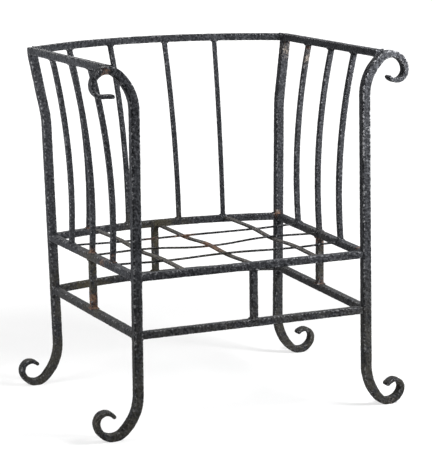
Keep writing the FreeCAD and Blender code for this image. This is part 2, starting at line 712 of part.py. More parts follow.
# Beads round the rails where they meet the posts.
frame_beads = {"seat_": [], "": []}
for prefix, z in (("seat_", seat_z), ("", stretcher_z)):
    ends = [post_point("rear", side, z) for side in SIDES]
    back_ways = dict(zip(SIDES, end_directions(*ends, dim("back_bow"), Y_AXIS)))
    for side, sign in SIDES.items():
        front, rear = post_point("front", side, z), post_point("rear", side, z)
        side_way, back_way = (rear - front).normalize(), back_ways[side]
        inward = X_AXIS * -sign
        joints = (
            (front, inward, inward),
            (front, side_way, Y_AXIS),
            (rear, -side_way, -Y_AXIS),
            (rear, back_way, inward),
        )
        for point, along, facing in joints:
            frame_beads[prefix].append(bead(point, along, facing, half_post, rail_size, dim("rail_weld")))
top_beads = []
corner_ways = end_directions(*corners, dim("top_bow"), Y_AXIS)
for side, corner, corner_way in zip(SIDES, corners, corner_ways):
    start = arm_point(side, front_y)
    facing = inner_normal(side, start, corner)
    arm_way = (corner - start).normalize()
    top_beads.append(bead(start, arm_way, Y_AXIS, half_post, rail_size, dim("rail_weld")))
    top_beads.append(bead(corner, corner_way, facing, half_rail, rail_size, dim("rail_weld")))

doc.recompute()
check_shapes(sub_parts)
pieces = list(sub_parts)
for name, beads in (
    ("seat_frame_welds", frame_beads["seat_"]),
    ("stretcher_welds", frame_beads[""]),
    ("top_rail_welds", top_beads),
    ("strut_welds", strut_beads),
    ("side_bar_welds", side_beads),
    ("back_bar_welds", back_beads),
    ("seat_grid_welds", grid_beads),
):
    pieces.append(weld_group(name, beads, pieces))
sub_parts = pieces

doc.recompute()

for item in doc.Objects:
    if "Invalid" in item.State or "Error" in item.State:
        raise RuntimeError(f"{item.Name} failed: {item.State}")
check_shapes(sub_parts)

os.makedirs("parts", exist_ok=True)
for part in sub_parts:
    part.Shape.exportStep(f"parts/{part.Label}.step")
print(f"{len(sub_parts)} sub-parts written")
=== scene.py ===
"""Garden armchair of hammered iron bar, dressed over its frame and set on a pale floor."""

import logging
import math
from dataclasses import dataclass
from enum import Enum

import bpy
import numpy as np
from mathutils import Matrix, Vector


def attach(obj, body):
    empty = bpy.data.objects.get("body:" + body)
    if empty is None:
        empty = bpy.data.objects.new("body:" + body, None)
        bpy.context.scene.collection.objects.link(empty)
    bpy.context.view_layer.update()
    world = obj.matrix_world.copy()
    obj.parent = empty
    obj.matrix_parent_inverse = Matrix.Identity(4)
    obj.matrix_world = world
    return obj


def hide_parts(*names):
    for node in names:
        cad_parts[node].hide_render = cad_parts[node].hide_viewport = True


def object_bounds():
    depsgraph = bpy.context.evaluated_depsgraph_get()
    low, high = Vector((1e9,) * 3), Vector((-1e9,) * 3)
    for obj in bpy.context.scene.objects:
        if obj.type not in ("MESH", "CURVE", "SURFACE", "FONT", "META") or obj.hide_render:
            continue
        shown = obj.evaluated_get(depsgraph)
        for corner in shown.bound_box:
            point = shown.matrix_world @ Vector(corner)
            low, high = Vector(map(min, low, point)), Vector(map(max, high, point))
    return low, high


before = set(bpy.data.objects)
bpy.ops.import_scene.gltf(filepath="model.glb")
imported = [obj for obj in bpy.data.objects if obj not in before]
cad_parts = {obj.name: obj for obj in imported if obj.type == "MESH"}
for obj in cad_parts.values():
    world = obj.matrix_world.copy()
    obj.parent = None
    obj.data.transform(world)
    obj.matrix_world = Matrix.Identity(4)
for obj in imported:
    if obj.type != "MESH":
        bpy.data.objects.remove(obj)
FRAME_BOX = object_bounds()

log = logging.getLogger("armchair")

Point = tuple[float, float, float]
Colour = tuple[float, float, float, float]
Span = tuple[float, float]

WHITE: Colour = (1.0, 1.0, 1.0, 1.0)
NOISE_MIDDLE = 0.5
SHOWING_RAYS = ("Is Camera Ray", "Is Glossy Ray", "Is Transmission Ray")


class Slot(Enum):
    """Material slots, kept on each kind of bar."""

    IRON = "iron"
    WELD = "weld"


class Stain(Enum):
    """Surface attributes that the finish reads."""

    RUST = "rust"
    WORN = "worn"
    # Bare metal, partly painted highlights.
    BARE_AND_HIGHLIGHT = "bare"
    EARTH = "earth"
    RIDGE = "ridge"


class Signal:
    """Value socket of a node tree that takes part in plain arithmetic."""

    def __init__(self, bench: "Bench", socket: bpy.types.NodeSocket) -> None:
        """Keep the socket and the bench that its nodes stand on."""
        self.bench = bench
        self.socket = socket

    def __add__(self, other: "Signal | float") -> "Signal":
        """Sum."""
        return self.bench.math("ADD", self, other)

    def __radd__(self, other: float) -> "Signal":
        """Sum, number first."""
        return self.bench.math("ADD", other, self)

    def __sub__(self, other: "Signal | float") -> "Signal":
        """Difference."""
        return self.bench.math("SUBTRACT", self, other)

    def __rsub__(self, other: float) -> "Signal":
        """Difference, number first."""
        return self.bench.math("SUBTRACT", other, self)

    def __mul__(self, other: "Signal | float") -> "Signal":
        """Product."""
        return self.bench.math("MULTIPLY", self, other)

    def __rmul__(self, other: float) -> "Signal":
        """Product, number first."""
        return self.bench.math("MULTIPLY", other, self)

    def centred(self) -> "Signal":
        """Noise value, moved so that its middle is 0."""
        return self - NOISE_MIDDLE

    def clamped(self) -> "Signal":
        """Value held between 0 and 1."""
        return self.bench.math("MAXIMUM", self.bench.math("MINIMUM", self, 1.0), 0.0)


@dataclass(frozen=True)
class Clouds:
    """Cloudy pattern: clouds to the metre, finer layers, and how much those weigh."""

    scale: float
    detail: float
    roughness: float


class Bench:
    """Node tree of a material or of the world."""

    def __init__(
        self,
        owner: bpy.types.Material | bpy.types.World,
        output_kind: str = "ShaderNodeOutputMaterial",
    ) -> None:
        """Empty the owner's node tree and give it an output.

        Args:
            owner: material or world.
            output_kind: type name of its output node.
        """
        owner.use_nodes = True
        self.tree = owner.node_tree
        self.tree.nodes.clear()
        self.output = self.tree.nodes.new(output_kind)

    def add(
        self,
        kind: str,
        settings: dict[str, object] | None = None,
        values: dict[int | str, object] | None = None,
    ) -> bpy.types.Node:
        """Add a node.

        Args:
            kind: type name of the node.
            settings: properties, set before the sockets are filled.
            values: numbers, colours, signals or sockets, by input name or index.

        Returns:
            The node.
        """
        node = self.tree.nodes.new(kind)
        for key, value in (settings or {}).items():
            setattr(node, key, value)
        for key, value in (values or {}).items():
            self.feed(node.inputs[key], value)
        return node

    def feed(self, target: bpy.types.NodeSocket, value: object) -> None:
        """Link or set one input.

        Args:
            target: the input.
            value: signal or socket to link, or the number or colour to set.
        """
        if isinstance(value, Signal):
            self.tree.links.new(value.socket, target)
        elif isinstance(value, bpy.types.NodeSocket):
            self.tree.links.new(value, target)
        else:
            target.default_value = value

    def show(self, shader: bpy.types.Node) -> None:
        """Send a shader to the output."""
        self.feed(self.output.inputs["Surface"], shader.outputs[0])

    def place(self) -> bpy.types.NodeSocket:
        """Object coordinates."""
        return self.add("ShaderNodeTexCoord").outputs["Object"]

    def math(self, operation: str, first: Signal | float, second: Signal | float) -> Signal:
        """Math node on two values."""
        node = self.add("ShaderNodeMath", {"operation": operation}, {0: first, 1: second})
        return Signal(self, node.outputs[0])

    def mix(self, share: Signal | float, low: object, high: object) -> bpy.types.NodeSocket:
        """Blend two colours.

        Args:
            share: 0 for the first colour alone, 1 for the second alone.
            low: first colour.
            high: second colour.

        Returns:
            The blend.
        """
        # A Mix node has sockets for each kind of data. These are the colour ones.
        first, second, blend = 6, 7, 2
        values = {0: share, first: low, second: high}
        return self.add("ShaderNodeMix", {"data_type": "RGBA"}, values).outputs[blend]

    def noise(self, place: bpy.types.NodeSocket, clouds: Clouds) -> Signal:
        """Lay a cloudy pattern.

        Args:
            place: coordinates.
            clouds: the pattern.

        Returns:
            Value from 0 to 1.
        """
        values = {
            "Vector": place,
            "Scale": clouds.scale,
            "Detail": clouds.detail,
            "Roughness": clouds.roughness,
        }
        return Signal(self, self.add("ShaderNodeTexNoise", None, values).outputs[0])

    def step(self, value: Signal, span: Span) -> Signal:
        """Make a mask that rises smoothly.

        Args:
            value: what the mask follows.
            span: the values at which the mask is 0 and 1.

        Returns:
            The mask.
        """
        low, high = span
        values = {"Value": value, "From Min": low, "From Max": high}
        node = self.add("ShaderNodeMapRange", {"interpolation_type": "SMOOTHSTEP"}, values)
        return Signal(self, node.outputs[0])

    def attribute(self, stain: Stain) -> Signal:
        """Value of a surface attribute."""
        node = self.add("ShaderNodeAttribute", {"attribute_name": stain.value})
        return Signal(self, node.outputs["Fac"])

    def seen(self) -> Signal:
        """Tell the rays that show a surface from those that light the chair.

        Returns:
            1 for a ray that shows it, straight or in a reflection, and 0 for the others.
        """
        path = self.add("ShaderNodeLightPath")
        straight, mirrored, through = (Signal(self, path.outputs[kind]) for kind in SHOWING_RAYS)
        return (straight + mirrored + through).clamped()


@dataclass(frozen=True)
class Patterns:
    """Signals that the layers of one finish share."""

    bench: Bench
    place: bpy.types.NodeSocket
    height: Signal
    blotch: Signal
    speckle: Signal
    fine: Signal
    grain: Signal


@dataclass(frozen=True)
class Mottle:
    """Lighter mottling of the dark iron."""

    speckle_span: Span = (0.42, 0.62)
    speckle_share: float = 0.7
    blotch_span: Span = (0.32, 0.70)
    blotch_share: float = 0.3
    drop: float = 0.05

    def mask(self, patterns: Patterns) -> Signal:
        """Weigh the lighter tone.

        Args:
            patterns: signals of the finish.

        Returns:
            Its share, from 0 to 1.
        """
        speckled = patterns.bench.step(patterns.speckle, self.speckle_span) * self.speckle_share
        blotched = patterns.bench.step(patterns.blotch, self.blotch_span) * self.blotch_share
        return (speckled + blotched - self.drop).clamped()


@dataclass(frozen=True)
class BareMetalAndGlints:
    """Metal colour on the ridges and at the bare spots: partly worn bare metal, partly painted
    glints and highlights.
    """

    ridge_span: Span = (0.55, 0.85)
    speckle_span: Span = (0.52, 0.66)
    speckle_gain: float = 0.15
    painted_glint_share: float = 0.35
    fleck_span: Span = (0.47, 0.57)
    fleck_gain: float = 0.30
    spot_edge: Span = (0.0, 0.3)
    fleck_share: float = 0.5

    def mask(self, patterns: Patterns) -> Signal:
        """Weigh the bare metal.

        Args:
            patterns: signals of the finish.

        Returns:
            Its share, from 0 to 1.
        """
        bench = patterns.bench
        bare = bench.attribute(Stain.BARE_AND_HIGHLIGHT)
        speckled = bench.step(patterns.speckle + bare * self.speckle_gain, self.speckle_span)
        # Painted glints: light metal colour speckled along the ridges, standing in for light
        # catching the hammered edges.
        glints = bench.step(bench.attribute(Stain.RIDGE), self.ridge_span) * speckled
        uneven = (patterns.fine + patterns.speckle) * 0.5 + (bare - 1.0) * self.fleck_gain
        flecks = bench.step(uneven, self.fleck_span) * bench.step(bare, self.spot_edge)
        return (glints * self.painted_glint_share + flecks * self.fleck_share).clamped()


@dataclass(frozen=True)
class Earthing:
    """Olive dirt, near the floor and at the earthy spots."""

    height_span: Span = (0.40, 0.06)
    height_share: float = 0.5
    pattern_span: Span = (0.80, 1.15)
    cover: float = 0.8

    def mask(self, patterns: Patterns) -> Signal:
        """Weigh the dirt.

        Args:
            patterns: signals of the finish.

        Returns:
            Its share, from 0 to 1.
        """
        bench = patterns.bench
        reach = bench.step(patterns.height, self.height_span) * self.height_share
        reach = reach + bench.attribute(Stain.EARTH)
        return (reach * bench.step(patterns.fine + patterns.blotch, self.pattern_span)).clamped()


@dataclass(frozen=True)
class Wear:
    """Pale wear at the worn spots."""

    fine_gain: float = 1.1
    speckle_gain: float = 0.7
    span: Span = (0.36, 0.84)
    cover: float = 0.6

    def mask(self, patterns: Patterns) -> Signal:
        """Weigh the wear.

        Args:
            patterns: signals of the finish.

        Returns:
            Its share, from 0 to 1.
        """
        worn = patterns.bench.attribute(Stain.WORN) + patterns.fine.centred() * self.fine_gain
        worn = worn + patterns.speckle.centred() * self.speckle_gain
        return patterns.bench.step(worn, self.span)


@dataclass(frozen=True)
class Rusting:
    """Rust at the rusty spots, and all over where it is biased."""

    bias: float = 0.0
    fine_gain: float = 1.5
    span: Span = (0.42, 0.80)
    bright_span: Span = (0.46, 0.72)
    cover: float = 0.85

    def mask(self, patterns: Patterns) -> Signal:
        """Weigh the rust.

        Args:
            patterns: signals of the finish.

        Returns:
            Its share, from 0 to 1.
        """
        rusty = patterns.bench.attribute(Stain.RUST) + self.bias
        return patterns.bench.step(rusty + patterns.fine.centred() * self.fine_gain, self.span)


@dataclass(frozen=True)
class Roughness:
    """Roughness of the surface, which is least where it is clean."""

    rusty: float = 0.80
    clean_drop: float = 0.25
    speckle_gain: float = 0.5
    grain_gain: float = 0.3
    earth_gain: float = 0.25

    def value(self, patterns: Patterns, rust: Signal, earth: Signal) -> Signal:
        """Work out the roughness.

        Args:
            patterns: signals of the finish.
            rust: share of rust.
            earth: share of dirt.

        Returns:
            Roughness from 0 to 1.
        """
        rough = self.rusty - (1.0 - rust) * self.clean_drop
        rough = rough + patterns.speckle.centred() * self.speckle_gain
        rough = rough + patterns.grain.centred() * self.grain_gain
        return (rough + earth * self.earth_gain).clamped()


@dataclass(frozen=True)
class Relief:
    """Dimples and grain that are finer than the mesh."""

    dimple_size: float = 0.0070
    speckle_share: float = 0.8
    grain_share: float = 0.2
    depth: float = 0.0026

    def normal(self, patterns: Patterns) -> bpy.types.NodeSocket:
        """Tilt the surface.

        Args:
            patterns: signals of the finish.

        Returns:
            The normal.
        """
        bench = patterns.bench
        cells = {"Vector": patterns.place, "Scale": 1.0 / self.dimple_size}
        dimples = bench.add("ShaderNodeTexVoronoi", {"feature": "SMOOTH_F1"}, cells)
        height = Signal(bench, dimples.outputs["Distance"]) + patterns.speckle * self.speckle_share
        height = height + patterns.grain * self.grain_share
        values = {"Strength": 1.0, "Distance": self.depth, "Height": height}
        return bench.add("ShaderNodeBump", None, values).outputs[0]


@dataclass(frozen=True)
class IronFinish:
    """Blackened, hammered iron, rusted at its joints, with bare metal on its ridges that is partly
    wear and partly painted glints.
    """

    name: str = "hammered_iron"
    dark: Colour = (0.018, 0.0188, 0.0210, 1.0)
    grey: Colour = (0.056, 0.058, 0.064, 1.0)
    bare_and_glint_steel: Colour = (0.42, 0.42, 0.43, 1.0)
    olive: Colour = (0.060, 0.053, 0.034, 1.0)
    pale: Colour = (0.250, 0.215, 0.180, 1.0)
    rust: Colour = (0.100, 0.058, 0.045, 1.0)
    bright_rust: Colour = (0.240, 0.150, 0.090, 1.0)
    blotches: Clouds = Clouds(scale=24.0, detail=4.0, roughness=0.6)
    speckles: Clouds = Clouds(scale=200.0, detail=2.0, roughness=0.55)
    fine_clouds: Clouds = Clouds(scale=150.0, detail=4.0, roughness=0.7)
    grains: Clouds = Clouds(scale=850.0, detail=2.0, roughness=0.6)
    mottle: Mottle = Mottle()
    bare_metal_and_glints: BareMetalAndGlints = BareMetalAndGlints()
    earthing: Earthing = Earthing()
    wear: Wear = Wear()
    rusting: Rusting = Rusting()
    roughness: Roughness = Roughness()
    relief: Relief = Relief()
    metal_share: float = 0.6
    specular: float = 0.015

    def build(self) -> bpy.types.Material:
        """Make the material.

        Returns:
            The material, with its patterns on object coordinates.
        """
        material = bpy.data.materials.new(self.name)
        patterns = self._patterns(Bench(material))
        bench = patterns.bench
        colour = bench.mix(self.mottle.mask(patterns), self.dark, self.grey)
        # Bare metal and painted glints: light metal colour on the ridges and bare spots, partly
        # standing in for highlights.
        bare_and_glint_mask = self.bare_metal_and_glints.mask(patterns)
        colour = bench.mix(bare_and_glint_mask, colour, self.bare_and_glint_steel)
        earth = self.earthing.mask(patterns)
        colour = bench.mix(earth * self.earthing.cover, colour, self.olive)
        colour = bench.mix(self.wear.mask(patterns) * self.wear.cover, colour, self.pale)
        rust = self.rusting.mask(patterns)
        brightness = bench.step(patterns.speckle, self.rusting.bright_span)
        rust_colour = bench.mix(brightness, self.rust, self.bright_rust)
        colour = bench.mix(rust * self.rusting.cover, colour, rust_colour)
        values = {
            "Base Color": colour,
            "Roughness": self.roughness.value(patterns, rust, earth),
            "Metallic": bare_and_glint_mask * self.metal_share,
            "Specular IOR Level": self.specular,
            "Normal": self.relief.normal(patterns),
        }
        bench.show(bench.add("ShaderNodeBsdfPrincipled", None, values))
        return material

    def _patterns(self, bench: Bench) -> Patterns:
        """Lay the patterns that the layers share.

        Args:
            bench: node tree of the material.

        Returns:
            The patterns, with the height above the floor.
        """
        place = bench.place()
        parts = bench.add("ShaderNodeSeparateXYZ", None, {0: place})
        return Patterns(
            bench=bench,
            place=place,
            height=Signal(bench, parts.outputs["Z"]),
            blotch=bench.noise(place, self.blotches),
            speckle=bench.noise(place, self.speckles),
            fine=bench.noise(place, self.fine_clouds),
            grain=bench.noise(place, self.grains),
        )


BAR_IRON = IronFinish()
WELD_IRON = IronFinish(name="weld_iron", rusting=Rusting(bias=0.16))
SLAT_IRON = IronFinish(
    name="slat_iron", grey=(0.082, 0.073, 0.062, 1.0), rusting=Rusting(bias=0.08)
)
# Darker copy of the bar iron for the seat rods: painted shade that keeps the thin rods dark.
SHADED_ROD_IRON = IronFinish(
    name="shaded_rod_iron", dark=(0.008, 0.0085, 0.0095, 1.0), grey=(0.028, 0.029, 0.031, 1.0)
)


@dataclass(frozen=True)
class FloorFinish:
    """Pale floor that shows white to the camera, apart from the chair's soft shadow."""

    name: str = "pale_floor"
    colour: Colour = (0.62, 0.62, 0.62, 1.0)
    shadow_share: float = 0.45
    shadow_reach: Span = (1.7, 0.7)
    glow: float = 1.22

    def build(self) -> bpy.types.Material:
        """Make the material.

        Returns:
            The material, which takes shadow around its object's origin only.
        """
        material = bpy.data.materials.new(self.name)
        bench = Bench(material)
        matt = bench.add("ShaderNodeBsdfDiffuse", None, {"Color": self.colour})
        white = bench.add("ShaderNodeEmission", None, {"Color": WHITE, "Strength": self.glow})
        away = bench.add("ShaderNodeVectorMath", {"operation": "LENGTH"}, {0: bench.place()})
        near = bench.step(Signal(bench, away.outputs["Value"]), self.shadow_reach)
        share = bench.seen() * (1.0 - near * self.shadow_share)
        values = {0: share, 1: matt.outputs[0], 2: white.outputs[0]}
        bench.show(bench.add("ShaderNodeMixShader", None, values))
        return material


def deselect_all() -> None:
    """Leave nothing selected."""
    bpy.ops.object.select_all(action="DESELECT")


def make_active(piece: bpy.types.Object) -> None:
    """Select one piece alone and make it the active one.

    Args:
        piece: the piece.
    """
    deselect_all()
    piece.select_set(True)
    bpy.context.view_layer.objects.active = piece


def apply_modifier(piece: bpy.types.Object, kind: str, settings: dict[str, object]) -> None:
    """Add a modifier and apply it.

    Args:
        piece: piece that gets it.
        kind: type name of the modifier.
        settings: its properties.
    """
    make_active(piece)
    modifier = piece.modifiers.new(kind.lower(), kind)
    for key, value in settings.items():
        setattr(modifier, key, value)
    bpy.ops.object.modifier_apply(modifier=modifier.name)


def vertex_vectors(mesh: bpy.types.Mesh, name: str) -> np.ndarray:
    """Read one vector from each vertex.

    Args:
        mesh: the mesh.
        name: "co" for the places, "normal" for the normals.

    Returns:
        One row of three numbers for each vertex.
    """
    values = np.empty(len(mesh.vertices) * 3)
    mesh.vertices.foreach_get(name, values)
    return values.reshape(-1, 3)


def hold_inside(piece: bpy.types.Object) -> None:
    """Keep every vertex inside the box of the frame.

    Args:
        piece: piece that may stand past it.
    """
    low, high = (np.array(corner) for corner in FRAME_BOX)
    held = np.clip(vertex_vectors(piece.data, "co"), low, high)
    piece.data.vertices.foreach_set("co", held.ravel())


class Neighbours:
    """Edges that join the vertices of a mesh."""

    def __init__(self, mesh: bpy.types.Mesh) -> None:
        """Read the edges.

        Args:
            mesh: the mesh.
        """
        pairs = np.empty(len(mesh.edges) * 2, dtype=np.int64)
        mesh.edges.foreach_get("vertices", pairs)
        self.first, self.second = pairs[0::2], pairs[1::2]
        self.count = len(mesh.vertices)
        degree = np.bincount(self.first, minlength=self.count)
        degree += np.bincount(self.second, minlength=self.count)
        self.degree = np.maximum(degree, 1)

    def average(self, values: np.ndarray) -> np.ndarray:
        """Average a value over the neighbours of each vertex.

        Args:
            values: one number for each vertex.

        Returns:
            One average for each vertex.
        """
        total = np.bincount(self.first, weights=values[self.second], minlength=self.count)
        total += np.bincount(self.second, weights=values[self.first], minlength=self.count)
        return total / self.degree


@dataclass(frozen=True)
class RidgeGauge:
    """Measure of how far a surface stands out from its surroundings."""

    flat: float = 0.5
    gain: float = 4.0
    smoothing: int = 2

    def measure(self, mesh: bpy.types.Mesh) -> np.ndarray:
        """Measure every vertex.

        Args:
            mesh: mesh with even spacing.

        Returns:
            0.5 on flat faces, towards 1 on ridges and towards 0 in hollows.
        """
        places = vertex_vectors(mesh, "co")
        neighbours = Neighbours(mesh)
        edges = places[neighbours.first] - places[neighbours.second]
        spacing = np.linalg.norm(edges, axis=1).mean()
        around = np.stack([neighbours.average(column) for column in places.T], axis=1)
        relief = ((places - around) * vertex_vectors(mesh, "normal")).sum(axis=1) / spacing
        for _ in range(self.smoothing):
            relief = (relief + neighbours.average(relief)) / 2.0
        return np.clip(self.flat + self.gain * relief, 0.0, 1.0)


@dataclass(frozen=True)
class StainSpot:
    """Place where the finish has rusted or worn."""

    stain: Stain
    point: Point
    radius: float
    strength: float
    spread: float = 1.6
    falloff: float = 0.7

    def weigh(self, places: np.ndarray) -> np.ndarray:
        """Weigh how strongly the spot marks each place.

        Args:
            places: one row of coordinates for each place.

        Returns:
            The strength at the spot's middle, falling to 0 past its radius.
        """
        distance = np.linalg.norm(places - np.array(self.point), axis=1)
        nearness = np.clip(1.0 - distance / (self.radius * self.spread), 0.0, 1.0)
        return nearness**self.falloff * self.strength


STAIN_SPOTS = (
    # Left strut, and the seat rail above it.
    StainSpot(Stain.RUST, (-0.291, -0.069, 0.378), 0.010, 0.9),
    StainSpot(Stain.WORN, (-0.296, -0.072, 0.374), 0.004, 1.0),
    StainSpot(Stain.RUST, (-0.293, -0.069, 0.262), 0.024, 0.85),
    StainSpot(Stain.RUST, (-0.291, -0.075, 0.246), 0.012, 0.9),
    # Right strut.
    StainSpot(Stain.RUST, (0.292, -0.069, 0.250), 0.020, 0.60),
    StainSpot(Stain.RUST, (0.293, -0.069, 0.345), 0.018, 0.75),
    # Left seat rail, by the front side bar.
    StainSpot(Stain.RUST, (-0.286, -0.194, 0.386), 0.016, 0.60),
    StainSpot(Stain.RUST, (-0.292, -0.150, 0.366), 0.026, 0.60),
    # Middle slat, and the rear rod beside it.
    StainSpot(Stain.RUST, (-0.002, -0.072, 0.366), 0.030, 0.80),
    StainSpot(Stain.RUST, (-0.002, -0.125, 0.366), 0.045, 0.70),
    StainSpot(Stain.RUST, (-0.003, 0.060, 0.364), 0.024, 0.85),
    StainSpot(Stain.RUST, (-0.100, 0.063, 0.366), 0.070, 0.60),
    StainSpot(Stain.RUST, (-0.030, 0.063, 0.366), 0.040, 0.55),
    # Foot of the first back bar.
    StainSpot(Stain.RUST, (-0.198, 0.226, 0.374), 0.012, 0.75),
    # Crown of the front left post.
    StainSpot(Stain.RUST, (-0.342, -0.338, 0.819), 0.014, 0.80),
    # Right arm rail: rear corner, and top of the rear side bar.
    StainSpot(Stain.RUST, (0.334, 0.204, 0.803), 0.012, 0.70),
    StainSpot(Stain.WORN, (0.329, 0.196, 0.790), 0.028, 0.62),
    StainSpot(Stain.RUST, (0.327, 0.058, 0.803), 0.010, 0.60),
    StainSpot(Stain.WORN, (0.322, 0.057, 0.778), 0.030, 0.62),
    # Right seat rail: front end and rear end.
    StainSpot(Stain.RUST, (0.284, -0.300, 0.372), 0.014, 0.70),
    StainSpot(Stain.WORN, (0.297, 0.186, 0.378), 0.006, 1.0),
    StainSpot(Stain.RUST, (0.297, 0.186, 0.374), 0.012, 0.80),
    # Earthy struts, back stretcher and middle slat.
    StainSpot(Stain.EARTH, (-0.015, 0.245, 0.330), 0.070, 1.2),
    StainSpot(Stain.EARTH, (-0.015, 0.245, 0.270), 0.050, 0.6),
    StainSpot(Stain.EARTH, (-0.292, -0.069, 0.310), 0.060, 0.8),
    StainSpot(Stain.EARTH, (-0.220, 0.225, 0.233), 0.070, 0.8),
    StainSpot(Stain.EARTH, (0.292, -0.069, 0.310), 0.060, 0.5),
    StainSpot(Stain.EARTH, (-0.080, -0.120, 0.366), 0.130, 0.5),
    # Bare metal on the crowns of the front posts, and down the right one: partly bare metal,
    # partly painted highlights where the light catches them.
    StainSpot(Stain.BARE_AND_HIGHLIGHT, (0.352, -0.343, 0.818), 0.022, 0.66),
    StainSpot(Stain.BARE_AND_HIGHLIGHT, (0.390, -0.340, 0.795), 0.018, 0.5),
    StainSpot(Stain.BARE_AND_HIGHLIGHT, (0.315, -0.343, 0.800), 0.026, 0.5),
    StainSpot(Stain.BARE_AND_HIGHLIGHT, (0.283, -0.343, 0.640), 0.090, 0.66),
    StainSpot(Stain.BARE_AND_HIGHLIGHT, (0.283, -0.343, 0.500), 0.070, 0.60),
    StainSpot(Stain.BARE_AND_HIGHLIGHT, (-0.350, -0.333, 0.800), 0.025, 0.55),
    # Front feet.
    StainSpot(Stain.WORN, (0.345, -0.338, 0.006), 0.010, 0.8),
    StainSpot(Stain.WORN, (-0.345, -0.338, 0.003), 0.006, 0.9),
    StainSpot(Stain.WORN, (-0.388, -0.340, 0.055), 0.016, 0.5),
)


def weigh_stains(piece: bpy.types.Object) -> None:
    """Store on each vertex how far each stain reaches it, and how much it stands proud.

    Args:
        piece: finished piece.
    """
    mesh = piece.data
    places = vertex_vectors(mesh, "co")
    weights = {stain: np.zeros(len(places)) for stain in Stain}
    for spot in STAIN_SPOTS:
        weights[spot.stain] = np.maximum(weights[spot.stain], spot.weigh(places))
    weights[Stain.RIDGE] = RidgeGauge().measure(mesh)
    for stain, weight in weights.items():
        layer = mesh.attributes.new(stain.value, "FLOAT", "POINT")
        layer.data.foreach_set("value", weight)


def displace(
    piece: bpy.types.Object, texture: bpy.types.Texture, depth: float, level: float
) -> None:
    """Move a surface along its normals, by a texture.

    Args:
        piece: the piece.
        texture: pattern on the piece's own coordinates.
        depth: how far the surface moves from black to white.
        level: brightness that leaves it where it is.
    """
    settings = {
        "texture": texture,
        "texture_coords": "LOCAL",
        "strength": depth,
        "mid_level": level,
    }
    apply_modifier(piece, "DISPLACE", settings)


@dataclass(frozen=True)
class Waves:
    """Long uneven waves along a bar, as far out as in."""

    depth: float
    size: float = 0.05
    level: float = 0.5
    layers: int = 1

    def beat(self, piece: bpy.types.Object) -> None:
        """Push the surface out and in.

        Args:
            piece: piece with an even mesh.
        """
        texture = bpy.data.textures.new("wave", "CLOUDS")
        texture.noise_scale = self.size
        texture.noise_depth = self.layers
        displace(piece, texture, self.depth, self.level)


@dataclass(frozen=True)
class Dents:
    """Round hammer dents side by side, deepest in their middles."""

    depth: float
    size: float
    level: float = 0.20
    contrast: float = 1.3

    def beat(self, piece: bpy.types.Object) -> None:
        """Press the dents in and raise what lies between them.

        Args:
            piece: piece with an even mesh.
        """
        texture = bpy.data.textures.new("dents", "VORONOI")
        texture.noise_scale = self.size
        texture.noise_intensity = self.contrast
        displace(piece, texture, self.depth, self.level)


@dataclass
class ForgedBars:
    """Bars of one kind, each hammered all over and put in its plain bar's place."""

    iron: bpy.types.Material
    names: tuple[str, ...] = ()
    slot: Slot = Slot.IRON
    merge_distance: float = 1e-5
    grain: float = 0.0013
    rounding: int = 1
    rounding_share: float = 0.5
    waves: Waves = Waves(depth=0.0005)
    dents: tuple[Dents, ...] = ()

    def build(self) -> None:
        """Forge each bar."""
        for name in self.names:
            self.forge(name)

    def forge(self, name: str) -> bpy.types.Object:
        """Turn one plain bar into a hammered one that takes its place.

        Args:
            name: node of the plain bar.

        Returns:
            The hammered bar.
        """
        piece = self._copy(name)
        remesh = {"mode": "VOXEL", "voxel_size": self.grain, "adaptivity": 0.0}
        apply_modifier(piece, "REMESH", remesh)
        smooth = {"factor": self.rounding_share, "iterations": self.rounding}
        apply_modifier(piece, "SMOOTH", smooth)
        self.waves.beat(piece)
        for dents in self.dents:
            dents.beat(piece)
        hold_inside(piece)
        make_active(piece)
        bpy.ops.object.shade_smooth()
        weigh_stains(piece)
        piece.data.materials.append(self.iron)
        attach(piece, "root")
        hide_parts(name)
        log.info("%s: %d faces", piece.name, len(piece.data.polygons))
        return piece

    def _copy(self, name: str) -> bpy.types.Object:
        """Copy a plain bar and merge its loose triangles.

        Args:
            name: node of the plain bar.

        Returns:
            The copy, without a material.
        """
        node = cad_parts[name]
        piece = bpy.data.objects.new(name + "_forged", node.data.copy())
        bpy.context.scene.collection.objects.link(piece)
        piece.data.materials.clear()
        make_active(piece)
        bpy.ops.object.mode_set(mode="EDIT")
        bpy.ops.mesh.select_all(action="SELECT")
        bpy.ops.mesh.remove_doubles(threshold=self.merge_distance)
        bpy.ops.object.mode_set(mode="OBJECT")
        return piece


@dataclass
class Posts(ForgedBars):
    """Four scrolled posts."""

    names: tuple[str, ...] = (
        "front_left_post",
        "front_right_post",
        "rear_left_post",
        "rear_right_post",
    )
    dents: tuple[Dents, ...] = (Dents(depth=0.0005, size=0.009), Dents(depth=0.0003, size=0.0045))


@dataclass
class Rails(ForgedBars):
    """Seat frame, stretchers, arm rails, top back rail and struts."""

    names: tuple[str, ...] = (
        "seat_front_rail",
        "seat_left_rail",
        "seat_right_rail",
        "seat_back_rail",
        "front_stretcher",
        "left_stretcher",
        "right_stretcher",
        "back_stretcher",
        "left_arm_rail",
        "right_arm_rail",
        "top_back_rail",
        "front_strut",
        "left_strut",
        "right_strut",
        "back_strut",
    )
    dents: tuple[Dents, ...] = (Dents(depth=0.0005, size=0.008), Dents(depth=0.0003, size=0.0045))


@dataclass
class UprightBars(ForgedBars):
    """Curved side bars and back bars."""

    names: tuple[str, ...] = (
        "left_side_bar_rear",
        "left_side_bar_middle",
        "left_side_bar_front",
        "right_side_bar_rear",
        "right_side_bar_middle",
        "right_side_bar_front",
        "back_bar_1",
        "back_bar_2",
        "back_bar_3",
        "back_bar_4",
    )
    grain: float = 0.0011
    dents: tuple[Dents, ...] = (Dents(depth=0.0004, size=0.006),)


